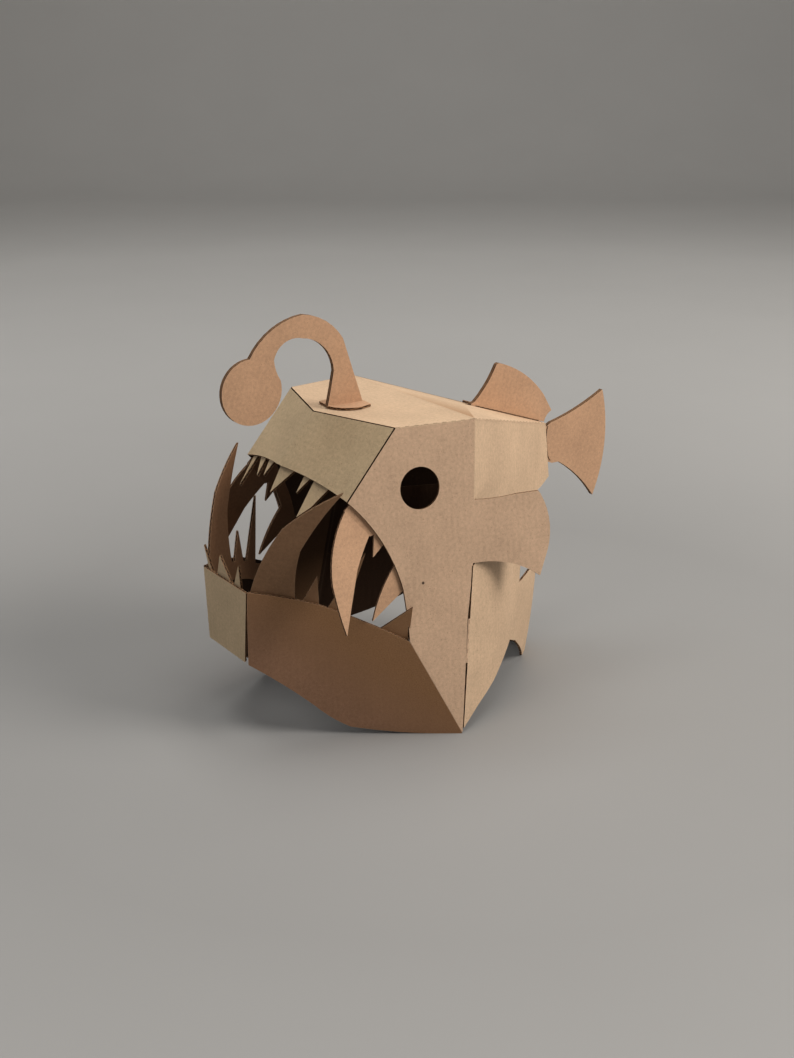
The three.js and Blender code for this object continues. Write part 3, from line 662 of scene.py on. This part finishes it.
@dataclass
class Head:
    """The whole mask: which board each node is cut from, and the folds between them."""

    shelf: Shelf = field(default_factory=Shelf)
    upright: tuple[float, float, float] = (0.0, 0.0, 1.0)
    lengthways: tuple[float, float, float] = (0.0, 1.0, 0.0)
    crossways: tuple[float, float, float] = (1.0, 0.0, 0.0)
    pin: tuple[float, float, float] = (0.1182, -0.0863, 0.1529)

    NECK_PLAN = (
        (139.0, 11.0), (128.0, 30.0), (112.0, 60.0), (98.0, 82.0), (88.0, 99.0),
        (71.0, 120.0), (48.0, 149.0), (30.0, 168.0), (15.0, 181.0), (0.3, 187.0),
    )

    # How wide the dark strip of painted shade is that closes the open fold between cheek and neck, and the
    # roots of the fins, where the painted slot shade stands
    NECK_SHADE_WIDTH = 3.2
    DORSAL_ROOT = ((113.0, 278.1), (140.0, 269.2), (165.0, 260.9), (196.0, 250.7))
    CAUDAL_ROOT = (
        (208.2, 243.7), (206.6, 240.0), (206.4, 232.0), (207.0, 224.0), (208.0, 216.0), (209.6, 209.5),
        (212.6, 205.2),
    )

    def pieces(self) -> list[BoardPiece]:
        """The CAD nodes and their board."""
        stand, lie, cross = FlatMap(self.upright), FlatMap(self.lengthways), FlatMap(self.crossways)
        lean = FlatMap((0.0, 0.35, 1.0))
        neck = CurvedMap(self.NECK_PLAN)
        rows = [
            ("crown_panel", Stock.PALE, lie), ("snout_panel", Stock.OLIVE, cross),
            ("jaw_front", Stock.OLIVE, stand), ("tail_roof", Stock.PALE, lie),
            ("lure", Stock.WARM, lean), ("dorsal_fin", Stock.WARM, lean), ("caudal_fin", Stock.WARM, lean),
            ("upper_front_teeth", Stock.OLIVE, cross), ("lower_front_teeth", Stock.OLIVE, cross),
        ]
        pieces = [BoardPiece(*row) for row in rows]
        for side in ("left", "right"):
            pin = self.pin if side == "left" else None
            pieces += [
                BoardPiece(f"{side}_cheek", Stock.KRAFT, stand, pin),
                # The jaw sides' board is darkened and reddened as painted shade and painted reflection
                BoardPiece(f"{side}_jaw_side", Stock.SHADED_RUSSET, stand),
                BoardPiece(f"{side}_tail_panel", Stock.PALE, stand),
                BoardPiece(f"{side}_neck_panel", Stock.PALE, neck),
                BoardPiece(f"{side}_upper_fangs", Stock.WARM, lie),
                # The lower teeth's face is darkened as painted shade
                BoardPiece(f"{side}_lower_teeth", Stock.SHADED_TOOTH, lie),
            ]
        return pieces

    @staticmethod
    def normal(*names: str, side: float, outward: Vector) -> Vector:
        """The outward normal of the panel through three corners."""
        a, b, c = (corner(name, side) for name in names)
        turned = (b - a).cross(c - a).normalized()
        return turned if turned.dot(outward) > 0 else -turned

    def folds(self) -> list[Fold]:
        """The folds of both sides."""
        folds: list[Fold] = []
        top, front = Vector((0, 0, 1)), Vector((0, -1, 0))
        for word, side in (("left", 1.0), ("right", -1.0)):
            out = Vector((side, 0, 0))
            cheek = self.normal("crown_front", "crown_rear", "base", side=side, outward=out)
            jaw = self.normal("chin_top", "mouth_corner", "base", side=side, outward=out)
            tail = self.normal("crown_rear", "rear_fold_top", "tail_top", side=side, outward=out)
            snout = self.normal("crown_front", "crown_peak", "lip_corner", side=side, outward=front)
            neck = self.normal("base", "rear_fold_fin", "neck_side", side=side, outward=out)
            rise = corner("roof_rise")
            rear, tip = corner("crown_rear", side), corner("tail_top", side)
            roof = (rise - rear).cross(tip - rear).normalized()
            roof = roof if roof.z > 0 else -roof
            foot, fin = corner("base", side), corner("rear_fold_fin", side)
            chin, jowl = corner("chin_top", side), corner("chin_bottom", side)
            rows = [
                ("crown_fold", FoldKind.PERFORATED, Stock.PALE, corner("crown_front", side), rear,
                 top, cheek),
                ("roof_fold", FoldKind.PERFORATED, Stock.PALE, rear, tip.lerp(rear, 0.03), roof, tail),
                ("tail_fold", FoldKind.SOFT, Stock.PALE, rear, corner("rear_fold_top", side), cheek, tail),
                ("neck_fold", FoldKind.PERFORATED, Stock.KRAFT, foot.lerp(fin, 0.42), foot.lerp(fin, 0.68),
                 cheek, neck),
                # Painted shade: a dark strip inside the open cut between cheek and neck, which darkens the
                # gap and keeps light from showing through it
                ("neck_shade_strip", FoldKind.SLIT, Stock.KRAFT, foot.lerp(fin, 0.03), fin.lerp(foot, 0.01),
                 cheek, neck, self.NECK_SHADE_WIDTH),
                ("jaw_fold", FoldKind.SOFT, Stock.KRAFT, corner("mouth_corner", side), foot.lerp(
                    corner("mouth_corner", side), 0.02), cheek, jaw),
                ("brow_slit", FoldKind.SLIT, Stock.KRAFT, corner("crown_peak", side),
                 corner("crown_front", side), top, snout),
                ("snout_slit", FoldKind.SLIT, Stock.KRAFT, corner("crown_front", side),
                 corner("lip_corner", side).lerp(corner("crown_front", side), 0.12), snout, cheek),
                ("chin_slit", FoldKind.SLIT, Stock.KRAFT, chin.lerp(jowl, 0.06), chin.lerp(jowl, 0.9),
                 front, jaw),
            ]
            folds += [Fold(f"{word}_{row[0]}", *row[1:]) for row in rows]
        rear_normal = (corner("crown_rear") - corner("crown_rear", -1)).cross(
            corner("roof_rise") - corner("crown_rear")).normalized()
        rear_normal = rear_normal if rear_normal.z > 0 else -rear_normal
        folds.append(Fold("rear_crown_fold", FoldKind.SOFT, Stock.PALE, corner("crown_rear", -1),
                          corner("crown_rear"), top, rear_normal))
        return folds

    def slot_shades(self) -> list[SlotShade]:
        """The painted slot shade at the roots of the dorsal fin and the tail fin, on the side that shows
        them.
        """
        return [
            SlotShade("dorsal_slot_shade", self.DORSAL_ROOT, Vector((0, 0, 1))),
            SlotShade("caudal_slot_shade", self.CAUDAL_ROOT, Vector((0, 1, 0))),
        ]

    def build(self) -> None:
        """Dresses the nodes and lays the folds and the painted slot shade."""
        for piece in self.pieces():
            piece.dress(self.shelf)
        for fold in self.folds():
            fold.build(self.shelf)
        for slot_shade in self.slot_shades():
            slot_shade.build(self.shelf)


@dataclass(frozen=True)
class PaintedFloor:
    """A matt painted floor that turns up far behind the mask; painted light makes its colour paler away from
    the mask.
    """

    colour: str = "#9A9998"
    far_painted_light_colour: str = "#F2F1EF"
    roughness: float = 0.62
    ior: float = 1.46

    def build(self) -> bpy.types.Material:
        """Makes the paint, with the slight unevenness that a roller leaves."""
        material = bpy.data.materials.new("matt_floor_paint")
        material.use_nodes = True
        material.node_tree.nodes.clear()
        graph = Graph(material.node_tree)
        place = graph.add("ShaderNodeNewGeometry", out="Position")
        cloud = graph.add("ShaderNodeTexNoise", inputs={"Vector": place, "Scale": 3.0, "Detail": 3.0})
        shade = graph.calc("MULTIPLY_ADD", cloud, 0.06, 0.97)
        # Painted light: the floor grows paler away from the mask, in place of the light that falls off with
        # distance
        away = graph.add("ShaderNodeVectorMath", {"operation": "LENGTH"}, {0: place}, "Value")
        far = graph.add("ShaderNodeMapRange", inputs={0: away, 1: 0.5, 2: 3.0, 3: 0.0, 4: 1.0})
        paint = graph.add("ShaderNodeMix", {"data_type": "RGBA"},
                          {"Factor": far, "A": linear(self.colour), "B": linear(self.far_painted_light_colour)}, 2)
        colour = graph.add("ShaderNodeVectorMath", {"operation": "SCALE"}, {0: paint, "Scale": shade})
        stipple = graph.add("ShaderNodeTexNoise", inputs={"Vector": place, "Scale": 420.0, "Detail": 2.0})
        bump = graph.add("ShaderNodeBump", inputs={"Strength": 0.08, "Distance": 0.2 * MM, "Height": stipple})
        shader = graph.add("ShaderNodeBsdfPrincipled", inputs={
            "Base Color": colour, "Roughness": self.roughness, "IOR": self.ior, "Normal": bump})
        graph.add("ShaderNodeOutputMaterial", inputs={"Surface": shader})
        return material


@dataclass
class Studio:
    """Floor, backdrop, lights and the camera at the photograph's place."""

    azimuth: float = 56.51
    elevation: float = 18.76
    place: tuple[float, float, float] = (1.1979, -0.8299, 0.6514)
    focal_px: float = 1500.0
    picture_height_px: float = 1058.0
    sensor: float = 36.0
    floor_half: float = 9.0
    wall_away: float = 6.0
    wall_height: float = 4.0
    bend: float = 1.6
    ambient: float = 0.11

    def backdrop(self) -> bpy.types.Object:
        """The floor and the wall behind, in one swept sheet."""
        turn = math.radians(self.azimuth)
        right = Vector((math.cos(turn), math.sin(turn), 0))
        away = Vector((-math.sin(turn), math.cos(turn), 0))
        profile = [(-self.floor_half, 0.0), (self.wall_away - self.bend, 0.0)]
        for i in range(1, 13):
            angle = math.pi / 2 * i / 12
            profile.append((self.wall_away - self.bend + self.bend * math.sin(angle),
                            self.bend * (1 - math.cos(angle))))
        profile.append((self.wall_away, self.wall_height))
        verts, faces = [], []
        for run, height in profile:
            for side in (-self.floor_half, self.floor_half):
                verts.append(away * run + right * side + Vector((0, 0, height)))
        for i in range(len(profile) - 1):
            faces.append((2 * i, 2 * i + 1, 2 * i + 3, 2 * i + 2))
        mesh = bpy.data.meshes.new("studio_floor")
        mesh.from_pydata(verts, [], faces)
        mesh.shade_smooth()
        mesh.materials.append(PaintedFloor().build())
        floor = bpy.data.objects.new("studio_floor", mesh)
        bpy.context.scene.collection.objects.link(floor)
        return floor

    def lamp(self, name: str, place: tuple[float, float, float], size: float, power: float,
             colour: str) -> bpy.types.Object:
        """A square soft light that faces the mask.

        Args:
            name: The light's name.
            place: Where it hangs, in metres.
            size: Length of its side.
            power: Its power in watts.
            colour: sRGB colour of its light.

        Returns:
            The light.
        """
        data = bpy.data.lights.new(name, "AREA")
        data.shape = "SQUARE"
        data.size = size
        data.energy = power
        data.color = linear(colour)[:3]
        light = bpy.data.objects.new(name, data)
        light.location = place
        aim = Vector((0, 0, 0.15)) - Vector(place)
        light.rotation_euler = aim.to_track_quat("-Z", "Y").to_euler()
        bpy.context.scene.collection.objects.link(light)
        return light

    def lights(self) -> None:
        """Daylight from the right and above, with a weaker window on the mouth's side."""
        self.lamp("window_right", (1.95, 1.6, 1.8), 1.5, 68.0, "#FFF9F2")
        self.lamp("sky_above", (-0.2, 0.0, 2.6), 2.2, 46.0, "#FFFDF8")
        self.lamp("window_front", (-1.6, -2.2, 1.1), 1.4, 11.0, "#F4F6FF")
        world = bpy.data.worlds.new("room")
        world.use_nodes = True
        background = world.node_tree.nodes["Background"]
        background.inputs["Color"].default_value = linear("#E9E6E1")
        background.inputs["Strength"].default_value = self.ambient
        bpy.context.scene.world = world

    def camera(self) -> bpy.types.Object:
        """The camera, worked out from the photograph's corners."""
        turn, rise = math.radians(self.azimuth), math.radians(self.elevation)
        right = Vector((math.cos(turn), math.sin(turn), 0))
        back = Vector((math.sin(turn) * math.cos(rise), -math.cos(turn) * math.cos(rise), math.sin(rise)))
        up = back.cross(right)
        data = bpy.data.cameras.new("camera")
        data.sensor_fit = "VERTICAL"
        data.sensor_height = self.sensor
        data.lens = self.sensor * self.focal_px / self.picture_height_px
        data.clip_end = 50
        camera = bpy.data.objects.new("camera", data)
        turned = Matrix((right, up, back)).transposed().to_4x4()
        camera.matrix_world = Matrix.Translation(Vector(self.place)) @ turned
        bpy.context.scene.collection.objects.link(camera)
        bpy.context.scene.camera = camera
        return camera

    def build(self) -> None:
        """Sets up the studio."""
        self.backdrop()
        self.lights()
        self.camera()
        scene = bpy.context.scene
        scene.view_settings.view_transform = "Standard"
        scene.view_settings.look = "None"


def main() -> None:
    """Builds the looks in order."""
    logging.basicConfig(level=logging.INFO, format="%(name)s: %(message)s", stream=sys.stdout)
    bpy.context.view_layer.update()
    Studio().build()
    Head().build()


if __name__ == "__main__":
    main()
